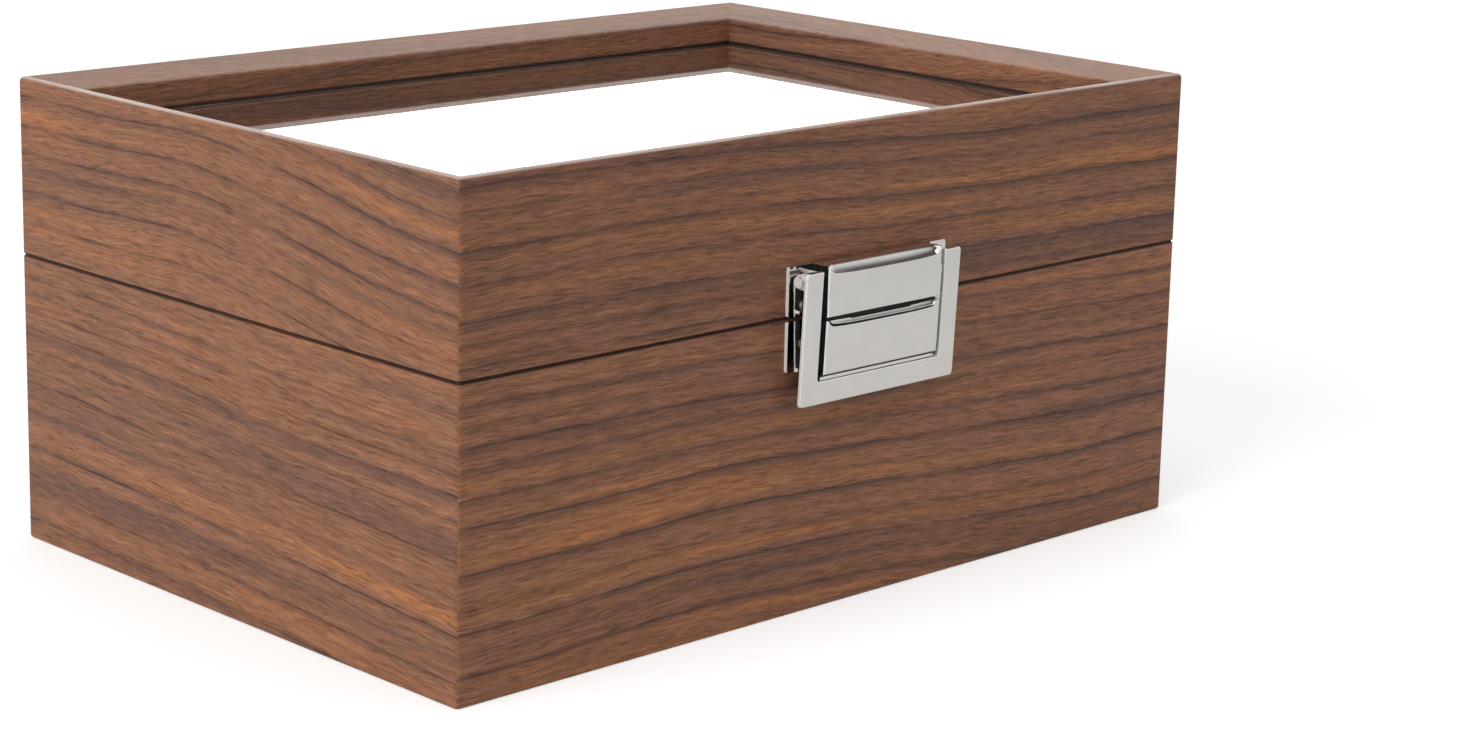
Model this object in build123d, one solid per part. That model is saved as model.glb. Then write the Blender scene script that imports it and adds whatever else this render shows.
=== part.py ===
from build123d import *
import math
import os

# Watch box with a glass-topped lid, a chrome flap clasp and three watch pillows.
# Millimetres. The origin is the centre of the underside: X runs to the right,
# the clasp side faces -Y, the hinges are at +Y, and Z is up.

# Outer case
case_width = 170.0          # X, left to right
case_depth = 118.0          # Y, front to back
base_height = 51.0          # underside to the seam
lid_height = 31.0           # seam to the top of the rim
edge_round = 0.9            # softened corners of the case and outer edge of the rim
edge_bevel = 0.35           # outer edges on both sides of the seam and at the underside

# Boards of the base
base_wall = 10.0            # board thickness
floor_thickness = 4.0       # bottom panel between the boards
felt_thickness = 1.0        # felt under the bottom panel, flush with the boards

# Boards of the lid: a wall that carries the glass, and round the glass a narrower rim
liner_clearance = 0.3       # running gap between the lid walls and the liner
rim_width = 7.3             # from the outside to the upright faces round the glass
rim_crest = 1.2             # level strip along the outer edge, where the slope starts
rim_drop = 2.2              # how far the rim slopes down towards the glass
rim_round = 0.7             # softened lower edge of the slope
glass_depth = 7.2           # glass below the top of the lid
glass_thickness = 3.0
glass_side_gap = 0.3
retainer_thickness = 3.4    # velvet strips along the walls, under the edge of the glass
retainer_gap = 0.8          # between the strips and the top of the liner

# Velvet-covered inside of the base
liner_thickness = 2.5
liner_stand = 4.0           # how far the liner stands above the seam
liner_round = 0.9
pad_thickness = 2.0         # padded card on the bottom panel
compartments = 3
divider_thickness = 4.0
divider_height = 38.0       # above the pad
divider_round = 1.6

# Watch pillows
pillow_side_gap = 1.2       # between a pillow and each wall of its compartment
pillow_seat_gap = 0.3       # between a pillow and the pad
pillow_length = 74.0        # front to back
pillow_height = 38.0
pillow_corner = 15.0        # rounding of the section that a strap goes round
pillow_draw_in = 2.2        # from the full middle down to the end seams
pillow_seam_inset = 3.2     # the end seams, in from the ends
pillow_end_draw_in = 6.0    # from the seams down to the flat of the ends
pillow_end_radius = 7.0

# Hinges let into the seam at the back, each with a heel that stops the lid
hinge_inset = 35.0          # middle of a hinge, in from the side of the box
hinge_width = 24.0
hinge_knuckles = 3
knuckle_gap = 0.15
knuckle_radius = 1.75
knuckle_clearance = 0.12
hinge_pin_radius = 0.75
pin_clearance = 0.05
hinge_pin_stand_off = 2.0   # pin centre behind the back face
leaf_thickness = 1.0
leaf_gap = 0.2              # between the two closed leaves
leaf_reach = 7.5            # into the boards
leaf_mortise_gap = 0.1
heel_depth = 2.5
heel_angle = 48.5           # degrees from the seam to each heel face
heel_back_gap = 0.3         # between a heel and the back of the box
heel_taper = 0.3            # how much farther the heel's foot stands from the box

# Hinge screws
screw_spacing = 14.0
screw_setback = 4.0         # from the back face of the box
screw_head_radius = 1.6
screw_head_depth = 1.0
screw_radius = 0.9
screw_length = 7.5
screw_bore_gap = 0.05

# Clasp: plates on both sides of the seam
clasp_offset = 2.4          # the clasp sits a little right of the middle
plate_width = 37.5
plate_thickness = 0.7
plate_round = 0.5
lid_plate_bottom = 0.2      # above the seam
lid_plate_ear_top = 8.6     # above the seam, at the two ends
lid_plate_top = 7.6         # above the seam, between the ears
ear_width = 5.2
base_plate_top = 0.5        # below the seam
base_plate_height = 8.6

# Clasp pin and the lugs that hold it
clasp_pin_height = 6.4      # above the seam
clasp_pin_stand_off = 2.5   # in front of the case
clasp_pin_radius = 0.6
clasp_pin_head_radius = 0.95
clasp_pin_head_length = 0.4
lug_thickness = 0.5
lug_round = 1.25
lug_gap = 0.1               # between a lug and the fixed block

# Fixed block on the lid
block_width = 27.2
block_edge_bevel = 0.35     # edges round the front of both blocks
lid_block_bottom = 0.5      # above the seam
lid_block_top = 8.7         # above the seam
lid_block_front = 4.7       # in front of the case
lid_block_bevel = 1.9       # height of the sloped band along its top

# Flap: two arms, a bottom bar and a block like the fixed one
flap_width = 37.4
flap_top = 7.9              # above the seam
flap_bottom = 14.5          # below the seam
flap_arm_width = 4.3
flap_bar_height = 4.1
flap_back = 0.95            # in front of the pin centre
flap_thickness = 1.1
flap_corner = 0.7
flap_edge_bevel = 0.3
flap_lean = 2.7             # degrees, bottom edge towards the case
flap_block_top = 0.5        # below the seam
flap_block_bottom = 9.5     # below the seam
flap_block_proud = 0.35     # in front of the arms
flap_block_bevel = 1.0
flap_web_thickness = 0.6    # floor of the groove under the block
knuckle_boss_radius = 1.25
knuckle_boss_inset = 0.5    # from the two side edges of an arm

# Catch on the base and the nib behind the flap that snaps past it
catch_width = 12.0
catch_top = 4.0             # below the seam
catch_height = 2.0
catch_front = 2.3           # in front of the case
catch_round = 0.9
nib_height = 1.0
nib_depth = 0.2
nib_drop = 0.7              # from the catch down to the nib

# Scoops along the tops of the two blocks
scoop_lip = 0.4             # thin lip left at both ends
scoop_corner = 1.3
scoop_slope = 52.0          # degrees from level

# Clasp nails
nail_radius = 0.5
nail_length = 7.0
nail_head_radius = 1.0
nail_head_height = 0.3
nail_gap = 0.05
lid_nail_spacing = 30.0
lid_nail_height = 1.9       # above the seam
base_nail_spacing = 30.0
base_nail_height = 4.6      # below the seam

# Worked out from the sizes above
half_width = case_width / 2
half_depth = case_depth / 2
case_height = base_height + lid_height
lid_wall = base_wall - liner_clearance
floor_top = felt_thickness + floor_thickness
pad_top = floor_top + pad_thickness
liner_top = base_height + liner_stand
inner_width = case_width - 2 * (base_wall + liner_thickness)
inner_depth = case_depth - 2 * (base_wall + liner_thickness)
compartment_width = (inner_width - (compartments - 1) * divider_thickness) / compartments
compartment_pitch = compartment_width + divider_thickness
slope_foot = case_height - rim_drop
glass_top = case_height - glass_depth
glass_bottom = glass_top - glass_thickness
hinge_axis_y = half_depth + hinge_pin_stand_off
front = -half_depth
clasp_axis_y = front - clasp_pin_stand_off
clasp_axis_z = base_height + clasp_pin_height

past = 1.0                  # how far a cut or a joined piece reaches past its neighbour
near = 0.01                 # how closely edges are told apart by their place

os.makedirs("parts", exist_ok=True)


def save(node, *solids):
    shape = solids[0] if len(solids) == 1 else Compound(children=list(solids))
    export_step(shape, f"parts/{node}.step")


def box(x0, x1, y0, y1, z0, z1):
    return Pos((x0 + x1) / 2, (y0 + y1) / 2, (z0 + z1) / 2) * Box(x1 - x0, y1 - y0, z1 - z0)


def ring(outer_inset, inner_inset, z0, z1):
    # Rectangular frame whose outside and inside lie at given insets from the case
    x0, y0 = half_width - outer_inset, half_depth - outer_inset
    x1, y1 = half_width - inner_inset, half_depth - inner_inset
    return box(-x0, x0, -y0, y0, z0, z1) - box(-x1, x1, -y1, y1, z0, z1)


def outer_edges(shape, z):
    # Edges of the case outline at one height
    def on_outline(edge):
        c = edge.center()
        return abs(abs(c.X) - half_width) < near or abs(abs(c.Y) - half_depth) < near
    level = shape.edges().filter_by_position(Axis.Z, z - near, z + near)
    return level.filter_by(on_outline)


def corner_edges(shape):
    def at_corner(edge):
        c = edge.center()
        return abs(abs(c.X) - half_width) < near and abs(abs(c.Y) - half_depth) < near
    return shape.edges().filter_by(Axis.Z).filter_by(at_corner)


def mitred(frame):
    # Cut a frame along its four corner diagonals into front, back, left and right boards
    margin = 5.0
    deepest = half_depth - margin
    ox, oy = half_width + margin, half_depth + margin
    ix, iy = half_width - deepest, half_depth - deepest
    outlines = {
        "front": [(-ox, -oy), (ox, -oy), (ix, -iy), (-ix, -iy)],
        "back": [(-ox, oy), (-ix, iy), (ix, iy), (ox, oy)],
        "left": [(-ox, -oy), (-ix, -iy), (-ix, iy), (-ox, oy)],
        "right": [(ox, -oy), (ox, oy), (ix, iy), (ix, -iy)],
    }
    boards = {}
    for side, points in outlines.items():
        prism = extrude(make_face(Polyline(points, close=True)), amount=case_height + margin)
        boards[side] = (frame & prism).solid()
    return boards


def along_x(section, x0, x1):
    # Extrude a sketch of the Y-Z plane from x0 to x1
    return Pos(x0, 0, 0) * extrude(Plane.YZ * section, amount=x1 - x0)


def rod(x0, x1, y, z, radius):
    return along_x(Pos(y, z) * Circle(radius), x0, x1)


# Hinges
hinge_centres = {"left": hinge_inset - half_width, "right": half_width - hinge_inset}
knuckle_pitch = hinge_width / hinge_knuckles
leaf_cut = leaf_gap / 2 + leaf_thickness


def screw_spots(centre):
    return [(centre + s * screw_spacing / 2, half_depth - screw_setback) for s in (-1, 1)]


def knuckle_spans(first):
    spans = []
    for i in range(first, hinge_knuckles, 2):
        start = i * knuckle_pitch - hinge_width / 2
        spans.append((start + knuckle_gap / 2, start + knuckle_pitch - knuckle_gap / 2))
    return spans


def hinge_leaf(own_first, other_first):
    # Lower leaf about the pin axis, leaf plate towards -Y, centred on X = 0
    half = hinge_width / 2
    inner_end = -(hinge_pin_stand_off + leaf_reach)
    shape = box(-half, half, inner_end, 0, -leaf_cut, -leaf_gap / 2)
    heel_out = heel_depth / math.tan(math.radians(heel_angle))
    heel_back = heel_back_gap - hinge_pin_stand_off
    heel = Polyline([(0, 0), (heel_out, -heel_depth), (heel_back + heel_taper, -heel_depth),
                     (heel_back, -leaf_cut)], close=True)
    shape += along_x(make_face(heel), -half, half)
    for x0, x1 in knuckle_spans(own_first):
        shape += rod(x0, x1, 0, 0, knuckle_radius)
    for x0, x1 in knuckle_spans(other_first):
        shape -= rod(x0 - knuckle_gap, x1 + knuckle_gap, 0, 0, knuckle_radius + knuckle_clearance)
    shape -= rod(-half - past, half + past, 0, 0, hinge_pin_radius + pin_clearance)
    for s in (-1, 1):
        spot = Pos(s * screw_spacing / 2, -(hinge_pin_stand_off + screw_setback), -leaf_gap / 2)
        shape -= spot * screw_cutter()
    return shape.solid()


def screw_profile(gap):
    head = screw_head_radius + gap
    shank = screw_radius + gap
    end = screw_length + gap
    points = [(0, 0), (head, 0), (shank, -screw_head_depth), (shank, -end), (0, -end)]
    return make_face(Plane.XZ * Polyline(points, close=True))


def screw_cutter():
    return revolve(screw_profile(screw_bore_gap), Axis.Z)


def screw():
    # Countersunk screw pointing down, head level with Z = 0
    return revolve(screw_profile(0), Axis.Z).solid()


def hinge_pin():
    return rod(-hinge_width / 2, hinge_width / 2, 0, 0, hinge_pin_radius).solid()


def turned_over(shape):
    return mirror(shape, Plane.XY)


def cut_hinge_seats(frame, upward):
    # Mortises for the leaves and bores for their screws, in the back of a frame
    for centre in hinge_centres.values():
        half = hinge_width / 2 + leaf_mortise_gap
        y0 = half_depth - leaf_reach - leaf_mortise_gap
        z0, z1 = (base_height, base_height + leaf_cut) if upward else (base_height - leaf_cut, base_height)
        frame -= box(centre - half, centre + half, y0, half_depth + past, z0, z1)
        for x, y in screw_spots(centre):
            cutter = Pos(0, 0, -leaf_gap / 2) * screw_cutter()
            if upward:
                cutter = turned_over(cutter)
            frame -= Pos(x, y, base_height) * cutter
    return frame


# Clasp nails
def nail_spots(spacing, z):
    return [(clasp_offset + s * spacing / 2, z) for s in (-1, 1)]


lid_nail_spots = nail_spots(lid_nail_spacing, base_height + lid_nail_height)
base_nail_spots = nail_spots(base_nail_spacing, base_height - base_nail_height)


def nail(x, z, gap=0):
    # Flat-headed nail driven towards +Y through a clasp plate
    face = front - plate_thickness
    shank = Pos(x, face, z) * Rot(-90, 0, 0) * Cylinder(
        nail_radius + gap, nail_length + gap, align=(Align.CENTER, Align.CENTER, Align.MIN))
    if gap:
        return shank
    head = Pos(x, face, z) * Rot(90, 0, 0) * Cylinder(
        nail_head_radius, nail_head_height, align=(Align.CENTER, Align.CENTER, Align.MIN))
    return (shank + head).solid()


# Base boards
base_frame = ring(0, base_wall, 0, base_height)
base_frame = fillet(corner_edges(base_frame), edge_round)
base_frame = chamfer(outer_edges(base_frame, 0) + outer_edges(base_frame, base_height), edge_bevel)
base_frame = cut_hinge_seats(base_frame, upward=False)
for x, z in base_nail_spots:
    base_frame -= nail(x, z, nail_gap)
for side, board in mitred(base_frame).items():
    save(f"base_{side}_board", board)

panel_x, panel_y = half_width - base_wall, half_depth - base_wall
save("base_bottom_panel", box(-panel_x, panel_x, -panel_y, panel_y, felt_thickness, floor_top))
save("base_underside_felt", box(-panel_x, panel_x, -panel_y, panel_y, 0, felt_thickness))

# Velvet-covered liner boards, with a rounded top edge that guides the lid
liner_frame = ring(base_wall, base_wall + liner_thickness, floor_top, liner_top)
liner_frame = fillet(liner_frame.faces().sort_by(Axis.Z)[-1].edges(), liner_round)
for side, board in mitred(liner_frame).items():
    save(f"liner_{side}", board)

pad_x, pad_y = inner_width / 2, inner_depth / 2
save("floor_pad", box(-pad_x, pad_x, -pad_y, pad_y, floor_top, pad_top))

divider_names = ["left", "right"]
for i, name in enumerate(divider_names):
    x = (i - (compartments - 2) / 2) * compartment_pitch
    board = box(x - divider_thickness / 2, x + divider_thickness / 2, -pad_y, pad_y,
                pad_top, pad_top + divider_height)
    top = board.faces().sort_by(Axis.Z)[-1].edges().filter_by(Axis.Y)
    save(f"divider_{name}", fillet(top, divider_round).solid())


# Watch pillows: a soft block with a crowned body, drawn in at its end seams, and puffed ends
def pillow_outline(height):
    # Across the pillow: full in the middle, drawn in at the seams, rounded from there to the ends
    half = compartment_width / 2 - pillow_side_gap
    seam = half - pillow_seam_inset
    drawn = height / 2 - pillow_draw_in
    end = drawn - pillow_end_draw_in
    crown = ThreePointArc((-seam, drawn), (0, height / 2), (seam, drawn))
    puff = RadiusArc((seam, drawn), (half, end), pillow_end_radius)
    upper = [crown, puff, mirror(puff, Plane.YZ)]
    lower = [mirror(line, Plane.XZ) for line in upper]
    ends = [Line((x, end), (x, -end)) for x in (-half, half)]
    return make_face(upper + lower + ends)


def pillow():
    # The outline from the front, the outline from above and the section that a strap goes round
    width = compartment_width - 2 * pillow_side_gap
    from_front = extrude(Plane.XZ * pillow_outline(pillow_height), amount=pillow_length / 2, both=True)
    from_above = extrude(Plane.XY * pillow_outline(pillow_length), amount=pillow_height / 2, both=True)
    section = RectangleRounded(pillow_length, pillow_height, pillow_corner)
    along = extrude(Plane.YZ * section, amount=width / 2, both=True)
    return (from_front & from_above & along).solid()


pillow_names = ["left", "middle", "right"]
for i, name in enumerate(pillow_names):
    x = (i - (compartments - 1) / 2) * compartment_pitch
    save(f"pillow_{name}", Pos(x, 0, pad_top + pillow_seat_gap + pillow_height / 2) * pillow())


# Lid boards: the wall, the ledge for the glass and the sloping rim are one profile
def outline(inset, z):
    return Pos(0, 0, z) * Rectangle(case_width - 2 * inset, case_depth - 2 * inset)


def slope_foot_edges(frame):
    level = frame.edges().filter_by_position(Axis.Z, slope_foot - near, slope_foot + near)
    return level.filter_by(lambda edge: abs(edge.center().X) < half_width - rim_width + near)


lid_frame = ring(0, lid_wall, base_height, glass_bottom)
lid_frame += ring(0, rim_width, glass_bottom, case_height)
lid_frame -= loft([outline(rim_width, slope_foot), outline(rim_crest, case_height)], ruled=True)
lid_frame = fillet(corner_edges(lid_frame) + outer_edges(lid_frame, case_height), edge_round)
lid_frame = chamfer(outer_edges(lid_frame, base_height), edge_bevel)
lid_frame = fillet(slope_foot_edges(lid_frame), rim_round)
lid_frame = cut_hinge_seats(lid_frame, upward=True)
for x, z in lid_nail_spots:
    lid_frame -= nail(x, z, nail_gap)
for side, board in mitred(lid_frame).items():
    save(f"lid_{side}_board", board)

glass_x = half_width - rim_width - glass_side_gap
glass_y = half_depth - rim_width - glass_side_gap
save("glass_pane", box(-glass_x, glass_x, -glass_y, glass_y, glass_bottom, glass_top))

retainer_frame = ring(lid_wall, lid_wall + retainer_thickness, liner_top + retainer_gap, glass_bottom)
for side, board in mitred(retainer_frame).items():
    save(f"glass_retainer_{side}", board)

# Hinge pieces
lower_leaf = hinge_leaf(0, 1)
upper_leaf = turned_over(hinge_leaf(1, 0))
base_screws, lid_screws = [], []
for name, centre in hinge_centres.items():
    place = Pos(centre, hinge_axis_y, base_height)
    save(f"hinge_base_leaf_{name}", place * lower_leaf)
    save(f"hinge_lid_leaf_{name}", place * upper_leaf)
    save(f"hinge_pin_{name}", place * hinge_pin())
    for x, y in screw_spots(centre):
        low = Pos(0, 0, -leaf_gap / 2) * screw()
        base_screws.append(Pos(x, y, base_height) * low)
        lid_screws.append(Pos(x, y, base_height) * turned_over(low))
save("hinge_base_screws", *base_screws)
save("hinge_lid_screws", *lid_screws)

# Clasp plates
plate_x0, plate_x1 = clasp_offset - plate_width / 2, clasp_offset + plate_width / 2
plate_front = front - plate_thickness


def block_span():
    return clasp_offset - block_width / 2, clasp_offset + block_width / 2


def lug_spans():
    x0, x1 = block_span()
    return [(x0 - lug_gap - lug_thickness, x0 - lug_gap), (x1 + lug_gap, x1 + lug_gap + lug_thickness)]


def round_plate(plate):
    return fillet(plate.edges().filter_by(Axis.Y), plate_round)


def lid_plate():
    z0, z1 = base_height + lid_plate_bottom, base_height + lid_plate_top
    plate = round_plate(box(plate_x0, plate_x1, plate_front, front, z0, base_height + lid_plate_ear_top))
    notch_x0, notch_x1 = plate_x0 + ear_width, plate_x1 - ear_width
    plate -= box(notch_x0, notch_x1, plate_front - past, front + past, z1, case_height)
    # Lugs folded forward from the ears carry the pin
    for x0, x1 in lug_spans():
        lug = make_face(Polyline([
            (plate_front, base_height + lid_plate_top),
            (clasp_axis_y, clasp_axis_z + lug_round),
            (clasp_axis_y, clasp_axis_z - lug_round),
            (plate_front, clasp_axis_z - 2 * lug_round)], close=True))
        plate += along_x(lug, x0, x1) + rod(x0, x1, clasp_axis_y, clasp_axis_z, lug_round)
        plate -= rod(x0 - past, x1 + past, clasp_axis_y, clasp_axis_z, clasp_pin_radius + pin_clearance)
    for x, z in lid_nail_spots:
        plate -= nail(x, z, nail_gap)
    return plate.solid()


def base_plate():
    z1 = base_height - base_plate_top
    plate = round_plate(box(plate_x0, plate_x1, plate_front, front, z1 - base_plate_height, z1))
    # Half-round catch across the middle
    top = base_height - catch_top
    x0, x1 = clasp_offset - catch_width / 2, clasp_offset + catch_width / 2
    catch = box(x0, x1, front - catch_front, plate_front, top - catch_height, top)
    lip = catch.edges().filter_by(Axis.X).sort_by(Axis.Y)[:2]
    plate += fillet(lip, catch_round)
    for x, z in base_nail_spots:
        plate -= nail(x, z, nail_gap)
    return plate.solid()


save("clasp_lid_plate", lid_plate())
save("clasp_base_plate", base_plate())
save("clasp_lid_nails", *[nail(x, z) for x, z in lid_nail_spots])
save("clasp_base_nails", *[nail(x, z) for x, z in base_nail_spots])


def scoop(x0, x1, face_y, low_z):
    # Trough that slopes up and back from the front face: flat floor, rounded ends
    reach = lid_block_top - lid_block_bottom
    trough = Pos(0, reach / 2) * Rectangle(x1 - x0 - 2 * scoop_lip, reach)
    trough = fillet(trough.vertices().sort_by(Axis.Y)[:2], scoop_corner)
    slope = math.radians(scoop_slope)
    run = Vector(0, math.cos(slope), math.sin(slope))
    start = Vector((x0 + x1) / 2, face_y, low_z) - run * reach / 2
    return extrude(Plane(origin=start, x_dir=(-1, 0, 0), z_dir=run) * trough, amount=2 * reach)


def front_edges(shape, y):
    return shape.edges().filter_by_position(Axis.Y, y - near, y + near)


def lid_block():
    x0, x1 = block_span()
    z0, z1 = base_height + lid_block_bottom, base_height + lid_block_top
    y0 = front - lid_block_front
    block = box(x0, x1, y0, plate_front, z0, z1)
    block = chamfer(front_edges(block, y0), block_edge_bevel)
    block -= scoop(x0, x1, y0, z1 - lid_block_bevel)
    block -= rod(x0 - past, x1 + past, clasp_axis_y, clasp_axis_z, clasp_pin_radius + pin_clearance)
    return block.solid()


def clasp_pin():
    x0 = clasp_offset - flap_width / 2 + knuckle_boss_inset
    x1 = clasp_offset + flap_width / 2 - knuckle_boss_inset
    pin = rod(x0, x1, clasp_axis_y, clasp_axis_z, clasp_pin_radius)
    for a, b in ((x0 - clasp_pin_head_length, x0), (x1, x1 + clasp_pin_head_length)):
        pin += rod(a, b, clasp_axis_y, clasp_axis_z, clasp_pin_head_radius)
    return pin.solid()


save("clasp_lid_block", lid_block())
save("clasp_pin", clasp_pin())


def flap():
    # Drawn upright about the pin axis, then leaned towards the case
    half = flap_width / 2
    y_back = -flap_back
    y_front = y_back - flap_thickness
    top = flap_top - clasp_pin_height
    bottom = -(clasp_pin_height + flap_bottom)
    bar_top = bottom + flap_bar_height
    frame = box(-half, half, y_front, y_back, bottom, top)
    frame = fillet(frame.edges().filter_by(Axis.Y), flap_corner)
    frame = chamfer(front_edges(frame, y_front), flap_edge_bevel)
    inner = half - flap_arm_width
    frame -= box(-inner, inner, y_front - past, y_back + past, bar_top, top + past)
    # The block on its web, set between the arms
    hb = block_width / 2
    block_top = -(clasp_pin_height + flap_block_top)
    block_bottom = -(clasp_pin_height + flap_block_bottom)
    face = y_front - flap_block_proud
    web = box(-hb, hb, y_back - flap_web_thickness, y_back, bar_top - past, block_bottom + past)
    block = box(-hb, hb, face, y_back, block_bottom, block_top)
    block = chamfer(front_edges(block, face), block_edge_bevel)
    block -= scoop(-hb, hb, face, block_top - flap_block_bevel)
    shape = frame + web + block
    # Nib that snaps past the catch
    nib_top = -(clasp_pin_height + catch_top + catch_height + nib_drop)
    nib_half = catch_width / 2
    nib = box(-nib_half, nib_half, y_back, y_back + nib_depth, nib_top - nib_height, nib_top)
    shape += nib
    # Bosses round the pin at the tops of the arms
    for side in (-1, 1):
        ends = sorted((side * (half - knuckle_boss_inset), side * (inner + knuckle_boss_inset)))
        shape += rod(ends[0], ends[1], 0, 0, knuckle_boss_radius)
        shape += box(ends[0], ends[1], -flap_back, 0, -knuckle_boss_radius, knuckle_boss_radius)
    shape -= rod(-half - past, half + past, 0, 0, clasp_pin_radius + pin_clearance)
    shape = shape.solid()
    return Pos(clasp_offset, clasp_axis_y, clasp_axis_z) * Rot(-flap_lean, 0, 0) * shape


save("clasp_flap", flap())
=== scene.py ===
import math
import random

import bmesh
import bpy
from mathutils import Matrix, Quaternion, Vector, noise


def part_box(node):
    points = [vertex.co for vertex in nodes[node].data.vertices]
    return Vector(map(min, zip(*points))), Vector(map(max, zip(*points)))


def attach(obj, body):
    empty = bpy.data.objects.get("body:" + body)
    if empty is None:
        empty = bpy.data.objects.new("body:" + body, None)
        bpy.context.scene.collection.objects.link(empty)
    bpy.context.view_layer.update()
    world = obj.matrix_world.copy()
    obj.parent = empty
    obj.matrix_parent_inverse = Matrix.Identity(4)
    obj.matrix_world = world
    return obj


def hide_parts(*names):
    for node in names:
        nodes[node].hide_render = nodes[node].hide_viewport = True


# Watch box with a glass-topped lid: walnut film outside, dark velvet inside, chrome clasp.
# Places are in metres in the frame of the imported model, and in its millimetres where a note says mm.

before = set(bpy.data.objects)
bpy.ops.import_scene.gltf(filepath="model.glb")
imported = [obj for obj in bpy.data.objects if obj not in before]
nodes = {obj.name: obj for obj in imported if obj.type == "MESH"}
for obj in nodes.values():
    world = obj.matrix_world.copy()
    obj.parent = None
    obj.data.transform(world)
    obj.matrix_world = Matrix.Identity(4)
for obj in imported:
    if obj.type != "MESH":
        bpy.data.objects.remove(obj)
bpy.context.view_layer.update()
scene = bpy.context.scene
print("frame loaded:", len(nodes), "nodes")


def addObject(name, data):
    made = bpy.data.objects.new(name, data)
    scene.collection.objects.link(made)
    return made


def aimAt(made, place, target, roll=0.0):
    made.location = place
    made.rotation_mode = "QUATERNION"
    aim = (Vector(target) - Vector(place)).to_track_quat("-Z", "Y")
    made.rotation_quaternion = aim @ Quaternion((0, 0, 1), math.radians(roll))


# Camera

camera = {
    "place": (-0.38530, -0.42136, 0.17060),
    "lookAt": (0.0149, -0.0146, 0.0418),
    "lens": 80.53,
    "sensor": 36.0,
    "roll": 1.37,       # degrees
    "shiftY": -0.0489,
    "clip": (0.05, 30),
}

cameraData = bpy.data.cameras.new("photoCamera")
cameraData.lens = camera["lens"]
cameraData.sensor_width = camera["sensor"]
cameraData.shift_y = camera["shiftY"]
cameraData.clip_start, cameraData.clip_end = camera["clip"]
scene.camera = addObject("photoCamera", cameraData)
aimAt(scene.camera, camera["place"], camera["lookAt"], camera["roll"])
scene.view_settings.view_transform = "Standard"
print("camera placed")


# Small helpers for node materials

def tone(red, green, blue):
    # 0 to 255 as seen on screen, to the linear colour a shader takes
    def linear(value):
        value /= 255
        return value / 12.92 if value <= 0.04045 else ((value + 0.055) / 1.055) ** 2.4
    return (linear(red), linear(green), linear(blue), 1.0)


def scaled(colour, share):
    return [min(255, value * share) for value in colour]


def startMaterial(name):
    material = bpy.data.materials.new(name)
    material.use_nodes = True
    tree = material.node_tree
    tree.nodes.clear()
    output = tree.nodes.new("ShaderNodeOutputMaterial")
    shader = tree.nodes.new("ShaderNodeBsdfPrincipled")
    tree.links.new(shader.outputs[0], output.inputs["Surface"])
    return material, tree, shader


def feed(tree, socket, value):
    if isinstance(value, bpy.types.NodeSocket):
        tree.links.new(value, socket)
    else:
        socket.default_value = value


def setInputs(shader, values):
    for name, value in values.items():
        shader.inputs[name].default_value = value


def feedAll(tree, node, *values):
    for socket, value in zip(node.inputs, values):
        feed(tree, socket, value)
    return node.outputs[0]


def calc(tree, operation, *values):
    node = tree.nodes.new("ShaderNodeMath")
    node.operation = operation
    return feedAll(tree, node, *values)


def times(tree, first, second):
    return calc(tree, "MULTIPLY", first, second)


def spread(tree, value, fromLow, fromHigh, toLow=0.0, toHigh=1.0, smooth=True):
    node = tree.nodes.new("ShaderNodeMapRange")
    node.interpolation_type = "SMOOTHSTEP" if smooth else "LINEAR"
    for name, number in (("Value", value), ("From Min", fromLow), ("From Max", fromHigh),
                         ("To Min", toLow), ("To Max", toHigh)):
        feed(tree, node.inputs[name], number)
    return node.outputs[0]


def band(tree, value, riseFrom, riseTo, fallFrom, fallTo):
    # 1 between two limits, with soft sides
    rise = spread(tree, value, riseFrom, riseTo)
    return times(tree, rise, spread(tree, value, fallFrom, fallTo, 1.0, 0.0))


def point(tree, x, y, z):
    return feedAll(tree, tree.nodes.new("ShaderNodeCombineXYZ"), x, y, z)


def axesOf(tree, vector):
    node = tree.nodes.new("ShaderNodeSeparateXYZ")
    tree.links.new(vector, node.inputs[0])
    return node.outputs


def coordinates(tree, kind):
    # Object is the place in the CAD frame, Normal the way the surface faces
    return tree.nodes.new("ShaderNodeTexCoord").outputs[kind]


def millimetres(tree):
    # Place on the piece, in millimetres of the CAD frame
    node = tree.nodes.new("ShaderNodeVectorMath")
    node.operation = "SCALE"
    node.inputs["Scale"].default_value = 1000
    tree.links.new(coordinates(tree, "Object"), node.inputs[0])
    return node.outputs[0]


def stretched(tree, where, *scales):
    node = tree.nodes.new("ShaderNodeVectorMath")
    node.operation = "MULTIPLY"
    tree.links.new(where, node.inputs[0])
    node.inputs[1].default_value = scales
    return node.outputs[0]


def cloud(tree, where, scale=1.0, detail=0.0, rough=0.5, distortion=0.0):
    node = tree.nodes.new("ShaderNodeTexNoise")
    for name, value in (("Vector", where), ("Scale", scale), ("Detail", detail),
                        ("Roughness", rough), ("Distortion", distortion)):
        feed(tree, node.inputs[name], value)
    return node.outputs["Fac"]


def ramp(tree, value, stops, steps=False):
    node = tree.nodes.new("ShaderNodeValToRGB")
    node.color_ramp.interpolation = "CONSTANT" if steps else "LINEAR"
    elements = node.color_ramp.elements
    while len(elements) < len(stops):
        elements.new(0.5)
    for element, (position, colour) in zip(elements, stops):
        element.position = position
        element.color = colour
    feed(tree, node.inputs["Fac"], value)
    return node.outputs["Color"]


def twoTones(tree, value, low, dark, high, light):
    return ramp(tree, value, [(low, tone(*dark)), (high, tone(*light))])


def blendColour(tree, kind, amount, first, second):
    node = tree.nodes.new("ShaderNodeMix")
    node.data_type = "RGBA"
    node.blend_type = kind
    feed(tree, node.inputs[0], amount)
    feed(tree, node.inputs[6], first)
    feed(tree, node.inputs[7], second)
    return node.outputs[2]


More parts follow.
